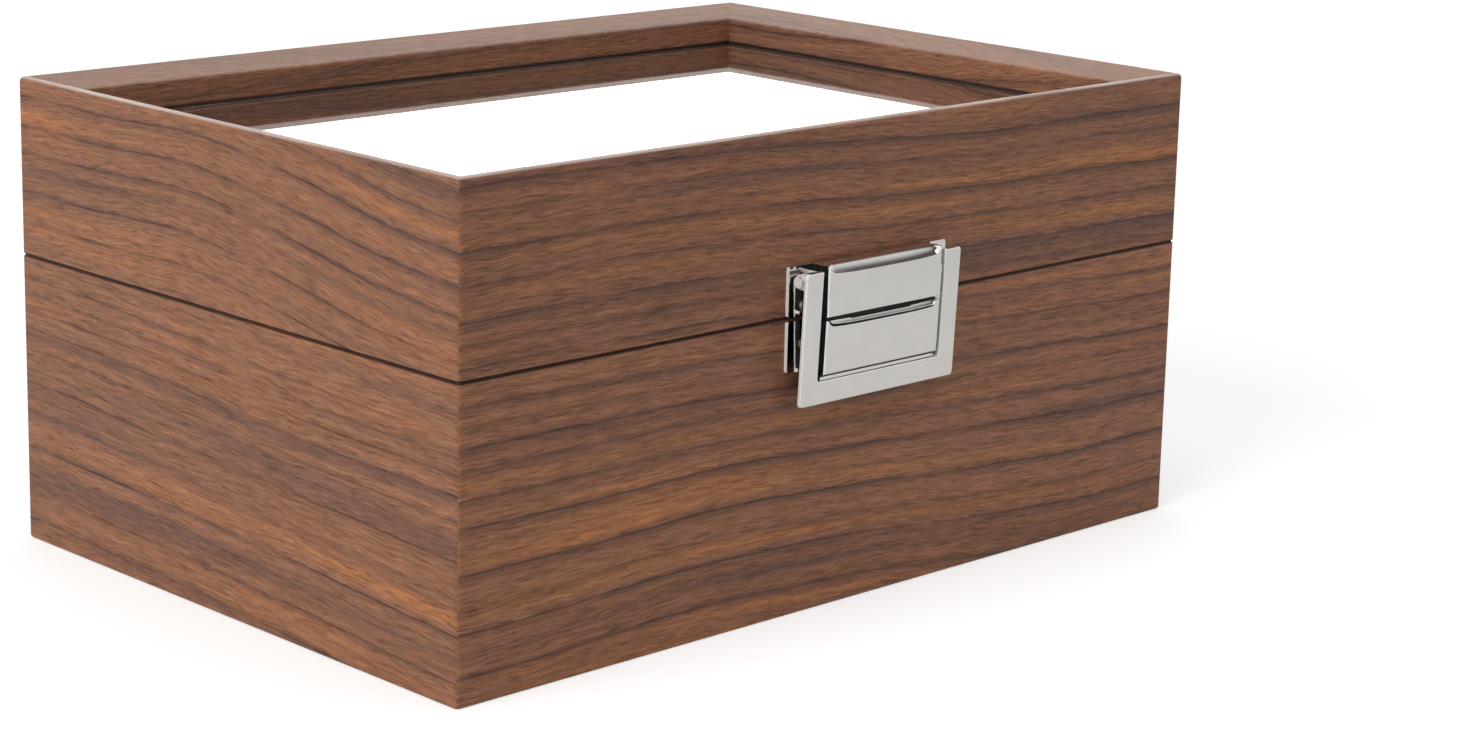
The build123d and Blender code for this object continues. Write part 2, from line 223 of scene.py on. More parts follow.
def tinted(tree, colour, amount, other):
    return blendColour(tree, "MIX", amount, colour, tone(*other))


def shaded(tree, colour, value):
    return blendColour(tree, "MULTIPLY", 1.0, colour, point(tree, value, value, value))


def relief(tree, height, depth):
    node = tree.nodes.new("ShaderNodeBump")
    node.inputs["Strength"].default_value = 1.0
    node.inputs["Distance"].default_value = depth
    feed(tree, node.inputs["Height"], height)
    return node.outputs["Normal"]


def dress(tree, shader, colour, rough, height, depth):
    feed(tree, shader.inputs["Base Color"], colour)
    feed(tree, shader.inputs["Roughness"], rough)
    feed(tree, shader.inputs["Normal"], relief(tree, height, depth))


def mixShaders(tree, amount, first, second):
    return feedAll(tree, tree.nodes.new("ShaderNodeMixShader"), amount, first, second)


def paint(material, *names):
    for name in names:
        slots = nodes[name].data.materials
        if len(slots) == 0:
            slots.append(material)
        for i in range(len(slots)):
            slots[i] = material


# Walnut film on the boards

walnut = {
    "plain": (151, 103, 76),
    "orange": (179, 117, 73),
    "grey": (122, 86, 70),
    "line": (50, 33, 34),
    "shade": (86, 60, 55),
    "lineWidth": 0.34,      # mm, half width of a dark grain line
    "fray": 0.6,            # mm, how far the fibres fray it
    "shadeWidth": 2.0,      # mm, soft shade under a line
    "shadeAbove": 1.1,      # mm, and over it
    "wander": 3.6,          # mm, slow drift of the lines
    "ripple": 1.0,          # mm, shorter drift
    "shake": 0.9,           # mm, drift of the fibres
    "streakTone": (0.88, 1.12),     # how far each one darkens and lightens the film
    "fibreTone": (0.80, 1.19),
    "poreTone": 0.64,
    "glintTone": 1.26,
    "roughness": 0.42,
    "gloss": 0.25,
    "embossDepth": 0.0001,
    "rimSheen": (190, 162, 148),     # painted sheen: the film paler where it faces up on the sloping rim
    "edgeHighlightAndWear": (232, 214, 205),    # painted highlight and wear along the top outer edge
    "edgeWidth": (0.7, 1.3),        # mm, where that line ends
    "paintedGapShade": (26, 19, 18),        # painted shadow in the joint between the rim and the pane, and painted shade in the seam under the lid
    "paneTop": 74.8,        # mm, where that joint is
    "paneStart": (6.6, 7.0),        # mm in from the outer face
    "seam": 51.0,           # mm
}

# Noises of the film: scale along the board, scale across it, and an offset that sets them apart
filmNoises = {
    "slow": (0.011, 0.02, 0), "patches": (0.040, 0.07, 4), "shaky": (0.17, 0.5, 9),
    "fibres": (0.24, 2.9, 11), "pores": (0.27, 4.2, 13), "glints": (0.36, 4.6, 17),
    "breaks": (0.045, 1.0, 2), "bands": (0.006, 0.19, 6), "streaks": (0.02, 1.1, 7),
}

# For each board: its seed, how its lines fall (from, to and by how much, in mm), how deep its tone is,
# and, on the boards that the photo shows, its grain lines as height in mm, core and shade
boardPrints = {
    "lid_left_board": {
        "seed": 3, "fall": (15, -66, 9.0),
        "lines": [
            (52.0, 0.2, 0.2), (56.8, 0.75, 0.25), (62.3, 0.85, 0.4), (66.2, 0.15, 0.5), (69.2, 0.8, 0.7),
            (73.8, 0.75, 0.8), (79.1, 0.75, 0.75), (84.0, 0.5, 0.6), (88.6, 0.7, 0.5), (95.0, 0.5, 0.5)],
    },
    "base_left_board": {
        "seed": 8, "fall": (58, -62, 4.6),
        "lines": [
            (3.2, 0.5, 0.7), (8.5, 0.6, 0.3), (16.3, 0.85, 0.5), (22.5, 0.15, 0.3), (28.6, 0.8, 0.6),
            (34.8, 0.5, 0.3), (38.7, 0.6, 0.5), (42.0, 0.7, 0.6), (44.8, 0.4, 0.4), (47.8, 0.5, 0.3)],
    },
    "lid_front_board": {
        "seed": 14, "fall": (-80, 84, 4.2), "depth": 0.93,
        "lines": [
            (53.0, 0.6, 0.4), (56.6, 0.2, 0.7), (60.3, 0.6, 0.9), (65.8, 0.5, 0.5), (70.9, 0.6, 0.9),
            (76.6, 0.3, 0.4), (80.4, 0.6, 1.0), (86.0, 0.6, 0.7), (91.2, 0.5, 0.6), (97.0, 0.5, 0.6)],
    },
    "base_front_board": {
        "seed": 21, "fall": (-50, 74, 5.6),
        "lines": [
            (5.4, 0.6, 0.8), (9.3, 0.2, 0.4), (12.6, 0.7, 0.6), (16.6, 0.2, 0.5), (21.8, 0.7, 0.9),
            (29.0, 0.7, 0.8), (33.4, 0.4, 0.5), (37.8, 0.3, 0.7), (41.2, 0.7, 0.9), (44.4, 0.3, 0.3),
            (47.4, 0.5, 0.5), (52.0, 0.5, 0.5)],
    },
    "lid_back_board": {"seed": 33, "fall": (80, -80, 5.0)},
    "base_back_board": {"seed": 41, "fall": (60, -84, -4.0)},
    "lid_right_board": {"seed": 52, "fall": (-60, 40, 6.5)},
    "base_right_board": {"seed": 67, "fall": (-58, 60, 5.0)},
}

# Board side: axis it runs along, axis it faces, sign and distance of that face in mm
boardSides = {
    "front": (0, 1, 1, 59), "back": (0, 1, -1, 59),
    "left": (1, 0, 1, 85), "right": (1, 0, -1, 85),
}


def drawnLines(seed, low=-6.0, high=104.0):
    # Grain lines at uneven steps for the boards that have no list
    rng = random.Random(seed)
    lines, height = [], low
    while height < high and len(lines) < 30:
        height += rng.uniform(3.4, 7.0)
        lines.append((height, rng.uniform(0.2, 0.85), rng.uniform(0.3, 0.9)))
    return lines


def filmNoise(tree, along, seed):
    # Makes the function that gives one of the film's noises
    def drawn(name, value, detail=0.0, rough=0.5):
        alongScale, acrossScale, offset = filmNoises[name]
        where = point(tree, times(tree, along, alongScale),
                      times(tree, value, acrossScale), seed + offset)
        return cloud(tree, where, detail=detail, rough=rough)
    return drawn


def grainLines(tree, made, grain, fibres, drawn):
    # How strong the dark lines and the soft shade round them are. One stepped ramp gives the nearest
    # line's height, core and shade.
    lines = made.get("lines") or drawnLines(made["seed"])
    low, high = -15.0, 110.0
    stops, edge = [], 0.0
    for i, (height, core, shade) in enumerate(lines):
        stops.append((edge, (height / 100, core, shade, 1)))
        if i + 1 < len(lines):
            edge = ((height + lines[i + 1][0]) / 2 - low) / (high - low)
    nearest = ramp(tree, spread(tree, grain, low, high, smooth=False), stops, steps=True)
    split = tree.nodes.new("ShaderNodeSeparateColor")
    tree.links.new(nearest, split.inputs[0])
    lineHeight, coreDepth, shadeDepth = split.outputs
    gap = calc(tree, "SUBTRACT", grain, times(tree, lineHeight, 100.0))
    frayed = calc(tree, "MULTIPLY_ADD", calc(tree, "SUBTRACT", fibres, 0.5), walnut["fray"], gap)
    broken = spread(tree, drawn("breaks", lineHeight, detail=2), 0.30, 0.56, 0.25, 1.0)
    core = spread(tree, calc(tree, "ABSOLUTE", frayed), 0.0, walnut["lineWidth"], 1.0, 0.0)
    core = times(tree, times(tree, core, coreDepth), broken)
    under = spread(tree, frayed, -walnut["shadeWidth"], 0.0, 0.0, 1.0)
    above = spread(tree, frayed, 0.0, walnut["shadeAbove"], 1.0, 0.0)
    shade = times(tree, times(tree, under, above), shadeDepth)
    shade = times(tree, shade, calc(tree, "MULTIPLY_ADD", broken, 0.6, 0.4))
    return core, shade


def seamShade(tree, body, height, inward):
    # Shade in the seam between lid and base, on the outer faces only
    seam = walnut["seam"]
    dark = band(tree, height, seam - 0.45, seam - 0.2, seam + 0.2, seam + 0.45)
    dark = times(tree, dark, spread(tree, inward, 0.3, 0.6, 1.0, 0.0))
    return tinted(tree, body, times(tree, dark, 0.85), walnut["paintedGapShade"])


def rimMarks(tree, body, height, inward, patches):
    # Painted sheen where the film faces up over the rim, a painted highlight and wear along the outer top
    # edge, and painted shadow in the joint at the pane
    up = axesOf(tree, coordinates(tree, "Normal"))[2]
    # painted sheen on the faces that look up
    body = tinted(tree, body, times(tree, spread(tree, up, 0.45, 0.92), 0.5), walnut["rimSheen"])
    # painted highlight and wear on the outer top edge, patchy along the board
    outer = spread(tree, inward, *walnut["edgeWidth"], 1.0, 0.0)
    turned = times(tree, spread(tree, up, 0.55, 0.85), outer)
    patchyHighlightAndWear = calc(tree, "MULTIPLY_ADD", calc(tree, "SUBTRACT", patches, 0.5), 1.1, 0.5)
    body = tinted(tree, body, times(tree, turned, patchyHighlightAndWear), walnut["edgeHighlightAndWear"])
    # painted shadow in the joint at the pane
    pane = walnut["paneTop"]
    paneShadow = band(tree, height, pane - 0.3, pane - 0.1, pane + 0.35, pane + 0.75)
    paneShadow = times(tree, paneShadow, spread(tree, inward, *walnut["paneStart"]))
    return tinted(tree, body, times(tree, paneShadow, 0.92), walnut["paintedGapShade"])


def walnutFilm(board):
    made = boardPrints[board]
    run, face, sign, out = boardSides[board.split("_")[1]]
    material, tree, shader = startMaterial("walnutFilm_" + board)
    axes = axesOf(tree, millimetres(tree))
    along, height = axes[run], axes[2]
    inward = calc(tree, "ADD", times(tree, axes[face], float(sign)), float(out))
    across = calc(tree, "ADD", height, inward)
    drawn = filmNoise(tree, along, made["seed"] * 7.31)

    # the print drifts and falls along the board
    start, end, fall = made["fall"]
    patches = drawn("patches", across)
    drift = times(tree, calc(tree, "SUBTRACT", drawn("slow", across), 0.5), walnut["wander"])
    drift = calc(tree, "MULTIPLY_ADD", calc(tree, "SUBTRACT", patches, 0.5), walnut["ripple"], drift)
    drift = calc(tree, "ADD", drift, spread(tree, along, start, end, 0.0, fall))
    grain = calc(tree, "ADD", across, drift)

    # short fibres of the embossed film, fine dark pores and pale glints between them
    shaky = calc(tree, "SUBTRACT", drawn("shaky", across), 0.5)
    wave = calc(tree, "MULTIPLY_ADD", shaky, walnut["shake"], grain)
    fibres = drawn("fibres", wave, detail=2.0, rough=0.55)
    pores = drawn("pores", wave, detail=1.0)
    glints = drawn("glints", wave, detail=1.0)
    core, shade = grainLines(tree, made, grain, fibres, drawn)

    # broad orange and grey bands, and fine streaks
    bands = drawn("bands", grain, detail=3, rough=0.55)
    streaks = drawn("streaks", grain, detail=2)
    body = ramp(tree, bands, [(0.30, tone(*walnut["grey"])), (0.47, tone(*walnut["plain"])),
                              (0.56, tone(*walnut["plain"])), (0.70, tone(*walnut["orange"]))])
    body = tinted(tree, body, times(tree, shade, 0.6), walnut["shade"])
    value = spread(tree, streaks, 0.3, 0.7, *walnut["streakTone"], smooth=False)
    value = times(tree, value, spread(tree, fibres, 0.33, 0.67, *walnut["fibreTone"]))
    value = times(tree, value, spread(tree, pores, 0.54, 0.70, 1.0, walnut["poreTone"]))
    value = times(tree, value, spread(tree, glints, 0.58, 0.72, 1.0, walnut["glintTone"]))
    value = times(tree, value, made.get("depth", 1.0))
    body = shaded(tree, body, value)
    body = tinted(tree, body, times(tree, core, 0.9), walnut["line"])
    body = seamShade(tree, body, height, inward)
    if board.startswith("lid"):
        body = rimMarks(tree, body, height, inward, patches)

    rough = spread(tree, fibres, 0.3, 0.7, walnut["roughness"] + 0.06, walnut["roughness"] - 0.04)
    emboss = calc(tree, "SUBTRACT", fibres, times(tree, core, 0.25))
    emboss = calc(tree, "SUBTRACT", emboss, times(tree, spread(tree, pores, 0.54, 0.72), 0.3))
    dress(tree, shader, body, rough, emboss, walnut["embossDepth"])
    setInputs(shader, {"IOR": 1.5, "Specular IOR Level": walnut["gloss"]})
    return material


for board in boardPrints:
    paint(walnutFilm(board), board)
print("walnut film on", len(boardPrints), "boards")


# Metals

chrome = {
    "colour": (223, 220, 216),
    "roughness": (0.035, 0.085),
    "smear": 0.00002,
    "edge": (250, 249, 247),    # painted highlight: near-white on faces that face sideways
    "edgeRoughness": 0.32,
    "highlightMatte": 0.85,              # how far those edges lose the mirror
    "gap": (26, 24, 24),        # painted shade: near-black metal in the gaps and under the blocks
}


def chromePlate():
    material, tree, shader = startMaterial("clasp_chrome")
    where = millimetres(tree)
    smears = cloud(tree, where, scale=0.22, detail=3, rough=0.6)
    polish = cloud(tree, stretched(tree, where, 0.12, 1.0, 3.2), detail=2)
    # painted highlight: faces that face sideways get a near-white, less metallic finish, so the lamps light
    # them to bright edge lines
    sideways = calc(tree, "ABSOLUTE", axesOf(tree, coordinates(tree, "Normal"))[0])
    sides = spread(tree, sideways, 0.35, 0.75)
    dull = [value - 5 for value in chrome["colour"]]
    tint = tinted(tree, twoTones(tree, smears, 0.3, dull, 0.7, chrome["colour"]), sides, chrome["edge"])
    mixed = calc(tree, "MULTIPLY_ADD", smears, 0.7, times(tree, polish, 0.3))
    rough = spread(tree, mixed, 0.35, 0.65, *chrome["roughness"])
    rough = calc(tree, "MULTIPLY_ADD", sides, chrome["edgeRoughness"], rough)
    dress(tree, shader, tint, rough, calc(tree, "MULTIPLY_ADD", polish, 0.2, smears), chrome["smear"])
    feed(tree, shader.inputs["Metallic"], calc(tree, "MULTIPLY_ADD", sides, -chrome["highlightMatte"], 1.0))
    return material


def paintedShadeMetal():
    # painted shade: near-black metal for the clasp's gaps
    material, tree, shader = startMaterial("clasp_painted_shade")
    shadeMottle = cloud(tree, millimetres(tree), scale=1.4, detail=3, rough=0.6)
    colour = twoTones(tree, shadeMottle, 0.35, scaled(chrome["gap"], 0.6), 0.65, chrome["gap"])
    dress(tree, shader, colour, spread(tree, shadeMottle, 0.3, 0.7, 0.7, 0.5), shadeMottle, chrome["smear"])
    shader.inputs["Specular IOR Level"].default_value = 0.2
    return material


claspPaintedShade = paintedShadeMetal()
claspChrome = chromePlate()
paint(claspChrome, "clasp_lid_plate", "clasp_base_plate", "clasp_pin")

hingeMetal = {
    "bright": (186, 182, 172),
    "dull": (150, 146, 138),
    "brushDepth": 0.00002,
}


def brushedNickel():
    material, tree, shader = startMaterial("hinge_nickel")
    where = millimetres(tree)
    brushing = cloud(tree, stretched(tree, where, 0.15, 7.0, 7.0), detail=3)
    blotches = cloud(tree, where, scale=0.35, detail=3, rough=0.6)
    mixed = calc(tree, "MULTIPLY_ADD", brushing, 0.5, times(tree, blotches, 0.5))
    colour = twoTones(tree, mixed, 0.35, hingeMetal["dull"], 0.6, hingeMetal["bright"])
    rough = spread(tree, mixed, 0.35, 0.65, 0.36, 0.22)
    dress(tree, shader, colour, rough, brushing, hingeMetal["brushDepth"])
    shader.inputs["Metallic"].default_value = 1.0
    return material


hingePieces = [n for n in nodes if n.startswith("hinge_") and "screws" not in n]
paint(brushedNickel(), *hingePieces)

fastener = {
    "bright": (196, 190, 178),
    "dull": (128, 122, 114),
    "turnDepth": 0.000015,
}


def turnedSteel():
    material, tree, shader = startMaterial("fastener_steel")
    where = millimetres(tree)
    spots = cloud(tree, where, scale=1.3, detail=3, rough=0.65)
    scratches = cloud(tree, stretched(tree, where, 6.0, 1.2, 1.0), detail=2)
    colour = twoTones(tree, spots, 0.36, fastener["dull"], 0.58, fastener["bright"])
    rough = spread(tree, spots, 0.35, 0.65, 0.42, 0.24)
    dress(tree, shader, colour, rough, scratches, fastener["turnDepth"])
    shader.inputs["Metallic"].default_value = 1.0
    return material


paint(turnedSteel(), "hinge_base_screws", "hinge_lid_screws", "clasp_lid_nails", "clasp_base_nails")
print("metals done")


# Glass

glass = {
    "tint": (250, 252, 251),
    "coat": 1.0,
    "coatIor": 1.75,
}


def windowGlass():
    material, tree, shader = startMaterial("window_glass")
    wiped = cloud(tree, stretched(tree, millimetres(tree), 0.05, 0.12, 1.0), detail=4, rough=0.6)
    feed(tree, shader.inputs["Roughness"], spread(tree, wiped, 0.5, 0.75, 0.0, 0.02))
    setInputs(shader, {"Base Color": tone(*glass["tint"]), "Transmission Weight": 1.0, "IOR": 1.5,
                       "Coat Weight": glass["coat"], "Coat IOR": glass["coatIor"], "Coat Roughness": 0.0})
    # lamps reach what is under the pane
    shadow = tree.nodes.new("ShaderNodeLightPath").outputs["Is Shadow Ray"]
    clear = tree.nodes.new("ShaderNodeBsdfTransparent")
    output = tree.nodes["Material Output"]
    either = mixShaders(tree, shadow, shader.outputs[0], clear.outputs[0])
    tree.links.new(either, output.inputs["Surface"])
    return material


paint(windowGlass(), "glass_pane")
print("glass done")


# Velvet, felt and board

velvet = {
    "lining": (40, 38, 40),
    "pillow": (58, 54, 56),
    "pileDepth": 0.00012,
    "sheen": 0.8,
    "sheenRoughness": 0.35,
}


def velvetCloth(name, colour):
    material, tree, shader = startMaterial(name)
    where = millimetres(tree)
    brushed = cloud(tree, where, scale=0.06, detail=3, rough=0.55, distortion=0.6)
    clumps = cloud(tree, where, scale=0.9, detail=2)
    pile = cloud(tree, where, scale=4.5, detail=2, rough=0.7)
    cloth = ramp(tree, brushed, [(0.32, tone(*scaled(colour, 0.72))), (0.5, tone(*colour)),
                                 (0.68, tone(*scaled(colour, 1.28)))])
    value = spread(tree, clumps, 0.3, 0.7, 0.88, 1.12)
    value = times(tree, value, spread(tree, pile, 0.3, 0.7, 0.7, 1.3))
    rough = spread(tree, brushed, 0.3, 0.7, 0.95, 0.82)
    height = calc(tree, "MULTIPLY_ADD", clumps, 0.6, pile)
    dress(tree, shader, shaded(tree, cloth, value), rough, height, velvet["pileDepth"])
    setInputs(shader, {"Sheen Weight": velvet["sheen"], "Sheen Roughness": velvet["sheenRoughness"],
                       "Specular IOR Level": 0.15})
    return material


liningVelvet = velvetCloth("lining_velvet", velvet["lining"])
pillowVelvet = velvetCloth("pillow_velvet", velvet["pillow"])
paint(liningVelvet, *[n for n in nodes if n.startswith(("liner_", "divider_", "glass_retainer_"))])

felt = {
    "colour": (34, 34, 36),
    "fleck": (72, 70, 70),
    "hairDepth": 0.00025,
    "width": 0.150, "depth": 0.098,
    "edge": 0.0004,         # how far the edge is worn round
    "edgeWidth": 0.0016,
    "nap": 0.00006,
    "cells": (100, 66),
}


def feltCloth():
    material, tree, shader = startMaterial("underside_felt")
    where = millimetres(tree)
    matted = cloud(tree, where, scale=1.1, detail=4, rough=0.7, distortion=2.2)
    hairs = cloud(tree, where, scale=3.2, detail=3, rough=0.75, distortion=3.5)
    mixed = calc(tree, "MULTIPLY_ADD", hairs, 0.6, times(tree, matted, 0.4))
    colour = ramp(tree, mixed, [(0.4, tone(*scaled(felt["colour"], 0.7))), (0.52, tone(*felt["colour"])),
                                (0.66, tone(*felt["fleck"]))])
    dress(tree, shader, colour, spread(tree, matted, 0.3, 0.7, 1.0, 0.9), hairs, felt["hairDepth"])
    setInputs(shader, {"Sheen Weight": 0.3, "Specular IOR Level": 0.1})
    return material


panelBoard = {
    "colour": (148, 118, 88),
    "chip": (118, 90, 66),
    "chipDepth": 0.0001,
}


def pressedBoard():
    material, tree, shader = startMaterial("panel_board")
    chips = cloud(tree, millimetres(tree), scale=1.6, detail=4, rough=0.7, distortion=1.5)
    colour = twoTones(tree, chips, 0.4, panelBoard["chip"], 0.6, panelBoard["colour"])
    dress(tree, shader, colour, spread(tree, chips, 0.3, 0.7, 0.9, 0.7), chips, panelBoard["chipDepth"])
    return material


paint(pressedBoard(), "base_bottom_panel")
print("cloth and board done")


# Mesh helpers

def meshObject(name, points, faces, material):
    mesh = bpy.data.meshes.new(name)
    mesh.from_pydata(points, [], faces)
    mesh.validate()
    mesh.update()
    shape = bmesh.new()
    shape.from_mesh(mesh)
    bmesh.ops.recalc_face_normals(shape, faces=shape.faces)
    shape.to_mesh(mesh)
    shape.free()
    mesh.polygons.foreach_set("use_smooth", [True] * len(mesh.polygons))
    mesh.materials.append(material)
    return addObject(name, mesh)


def joinRings(faces, first, second):
    # A strip of faces between two closed rings of point numbers
    for i in range(len(first)):
        k = (i + 1) % len(first)
        faces.append((first[i], first[k], second[k], second[i]))


def joinRows(faces, start, rows, count, capped=True):
    # The same between rings whose points follow one another
    for row in range(start, start + (rows - 1) * count, count):
        joinRings(faces, range(row, row + count), range(row + count, row + 2 * count))
    if capped:
        faces.append(tuple(range(start, start + count)))
        faces.append(tuple(range(start + (rows - 1) * count, start + rows * count)))


def slabFaces(nx, ny):
    # Two grids of points, the upper one first, and the four sides between them
    row, layer = nx + 1, (nx + 1) * (ny + 1)
    faces = []
    for j in range(ny):
        for i in range(nx):
            a = j * row + i
            faces.append((a, a + 1, a + row + 1, a + row))
            faces.append((layer + a, layer + a + row, layer + a + row + 1, layer + a + 1))
    for i in range(nx):
        for a in (i, ny * row + i):
            faces.append((a, a + 1, layer + a + 1, layer + a))
    for j in range(ny):
        for a in (j * row, j * row + nx):
            faces.append((a, a + row, layer + a + row, layer + a))
    return faces


def rounding(gap, radius):
    # How far a rounded edge lies back at this distance from the edge
    return radius - math.sqrt(max(0.0, radius * radius - (radius - min(gap, radius)) ** 2))


# Clasp: the hanging flap and the fixed block above it, in mm; the flap's sizes are taken from its pin

clasp = {
    "middle": 2.45,
    "pin": (-61.5, 57.4),
    "lean": 2.65,           # degrees, the foot of the flap nearer to the case
    "half": 18.5, "top": 1.75, "foot": -20.9,
    "armWidth": 3.95, "barHeight": 4.1,
    "rounds": (0.8, 0.7, 0.4, 0.3),     # corners: foot, top, top and foot of the window
    "front": -2.05, "back": -1.4,
    "edgeRound": 0.34,
    "blockHalf": 13.62,
    "blockRound": 0.42, "blockTopRound": 0.16,
    "blockFront": -2.4, "blockBack": -0.95, "blockTop": -6.7, "blockFoot": -15.9,
    "sheetFront": -1.5,     # sheet behind the block
    "sheetAbove": 0.3, "sheetInset": 0.4,
    "slit": (0.48, 0.05),   # height and depth of the slit under the block
    "boss": 1.25, "bore": 0.7, "bossInset": 0.5, "bossSteps": 48,
    "nib": (12.0, 1.0, 0.2, -13.1),     # width, height, depth, top
    "fixedFront": -63.7, "fixedBack": -59.7, "fixedTop": 59.7, "fixedFoot": 51.15,
    "hollow": 1.55, "hollowBelow": 1.3,     # height of the two hollows
    "hollowEnd": 1.3, "lip": 0.4,
    "hollowSlope": 0.58, "hollowStep": 0.45, "hollowTurn": 0.3,
    "edgeSteps": (0.0, 0.03, 0.07, 0.12, 0.18, 0.25, 0.33, 0.42, 0.47),     # rows of points from an edge in
    "sideSteps": (0.7, 0.9, 1.1, 1.3, 1.5, 1.7, 2.0, 2.5, 3.2),
    "hollowSteps": (0.04, 0.09, 0.15, 0.22, 0.3, 0.42, 0.56, 0.7, 0.84, 0.92, 0.97, 1.0),
    "fineCell": 2.4e-6,     # square metres, the largest cell that is shaded smooth
}


def roundedCorners(corners, steps=5):
    # Corner points with radii, to the outline with arcs in place of the corners
    made = []
    for i, (x, z, radius) in enumerate(corners):
        here = Vector((x, z))
        before = (Vector(corners[i - 1][:2]) - here).normalized()
        after = (Vector(corners[(i + 1) % len(corners)][:2]) - here).normalized()
        centre = here + (before + after) * radius
        first, last = -after, -before
        for k in range(steps + 1):
            turn = k / steps * math.pi / 2
            made.append(centre + (first * math.cos(turn) + last * math.sin(turn)) * radius)
    return made


def insetOutline(outline, inset):
    made = []
    for i, here in enumerate(outline):
        ahead = (outline[(i + 1) % len(outline)] - here).normalized()
        behind = (here - outline[i - 1]).normalized()
        a, b = Vector((-ahead.y, ahead.x)), Vector((-behind.y, behind.x))
        made.append(here + (a + b) / (1 + max(-0.5, a.dot(b))) * inset)
    return made


def platePiece(points, faces, outline, front, back, radius):
    # Flat plate with its front edge rounded
    rings = [(0.0, back), (0.0, front + radius)]
    for k in range(1, 6):
        turn = k / 5 * math.pi / 2
        rings.append((radius * (1 - math.cos(turn)), front + radius * (1 - math.sin(turn))))
    start, count = len(points), len(outline)
    for inset, y in rings:
        points.extend((p.x, y, p.y) for p in insetOutline(outline, inset))
    joinRows(faces, start, len(rings), count)


def blockPiece(points, faces, foot, top, front, back, hollow):
    # Block with rounded edges; its top is hollowed by a trough that runs out in rounded ends
    half, radius, steps = clasp["blockHalf"], clasp["blockRound"], clasp["edgeSteps"]
    across = {side * (half - step) for step in steps + clasp["sideSteps"] for side in (-1, 1)}
    across |= {-9.6 + 0.8 * i for i in range(25)}
    columns = []
    for x in sorted(across):
        ends = max(0.0, abs(x) - (half - clasp["lip"] - clasp["hollowEnd"])) / clasp["hollowEnd"]
        height = hollow * (1 - 0.3 * (x / half) ** 4) * math.sqrt(max(0.001, 1 - min(1.0, ends) ** 2))
        crease = top - height
        heights = [foot + step for step in steps + (1.5,)] + [crease - 0.03, crease]
        heights += [crease + height * step for step in clasp["hollowSteps"]]
        column = []
        for z in heights:
            rise = max(0.0, z - crease)
            depth = clasp["hollowSlope"] * rise
            depth += clasp["hollowStep"] * (1 - math.exp(-rise / clasp["hollowTurn"]))
            depth += rounding(top - z, clasp["blockTopRound"])
            depth = max(depth, rounding(half - abs(x), radius), rounding(z - foot, radius))
            column.append((x, min(front + depth, back - 0.05), z))
        columns.append(column)
    rows = len(columns[0])
    start = len(points)
    for column in columns:
        points.extend(column)
    for i in range(len(columns) - 1):
        for j in range(rows - 1):
            a = start + i * rows + j
            faces.append((a, a + rows, a + rows + 1, a + 1))
    # sides and back
    last = start + (len(columns) - 1) * rows
    rim = list(range(start, last + 1, rows)) + list(range(last + 1, last + rows))
    rim += list(range(last - 1, start, -rows)) + list(range(start + rows - 2, start, -1))
    behind = len(points)
    points.extend((points[r][0], back, points[r][2]) for r in rim)
    joinRings(faces, rim, range(behind, behind + len(rim)))
    faces.append(tuple(range(behind, behind + len(rim))))


def boxPiece(points, faces, low, high):
    start = len(points)
    points.extend((x, y, z) for x in (low[0], high[0]) for y in (low[1], high[1]) for z in (low[2], high[2]))
    for corners in ((0, 1, 3, 2), (4, 6, 7, 5), (0, 4, 5, 1), (2, 3, 7, 6), (0, 2, 6, 4), (1, 5, 7, 3)):
        faces.append(tuple(start + corner for corner in corners))


def bossPiece(points, faces, x0, x1):
    # Knuckle round the pin: round behind, square where it meets the arm
    count = clasp["bossSteps"]
    rings = []
    for x, bored in ((x0, True), (x0, False), (x1, False), (x1, True)):
        ring = []
        for i in range(count):
            angle = 2 * math.pi * i / count
            y, z = math.cos(angle), math.sin(angle)
            if bored:
                reach = clasp["bore"]
            elif y >= 0:
                reach = clasp["boss"]
            else:
                reach = min(-clasp["back"] / -y, clasp["boss"] / max(abs(z), 1e-6))
            ring.append(len(points))
            points.append((x, y * reach, z * reach))
        rings.append(ring)
    for first, second in zip(rings, rings[1:] + rings[:1]):
        joinRings(faces, first, second)


def claspObject(name, points, faces, origin, lean, gapTop, gapFoot=0.0, sheetAt=0.0):
    turn = Matrix.Rotation(math.radians(lean), 3, "X")
    placed = [(turn @ Vector(p) + Vector(origin)) / 1000 for p in points]
    made = meshObject(name, placed, faces, claspChrome)
    # second slot: the painted shade metal
    made.data.materials.append(claspPaintedShade)
    upright = turn.transposed()
    for face in made.data.polygons:
        normal, centre = upright @ face.normal, upright @ (face.center * 1000 - Vector(origin))
        # only the fine grids of the blocks are shaded smooth
        fine = len(face.vertices) == 4 and face.area < clasp["fineCell"]
        face.use_smooth = fine and abs(normal.y) > 0.02
        # painted shade: the sides and foot of the blocks, and the sheet that shows between them, get the
        # near-black second material
        inside = abs(centre.x) <= clasp["blockHalf"] + 0.01 and centre.z < gapTop
        sunk = centre.y > sheetAt and centre.z > gapFoot and normal.y < 0.95
        if inside and (abs(normal.x) > 0.95 or normal.z < -0.9 or sunk):
            face.material_index = 1
    made.data.set_sharp_from_angle(angle=math.radians(34))
    return made


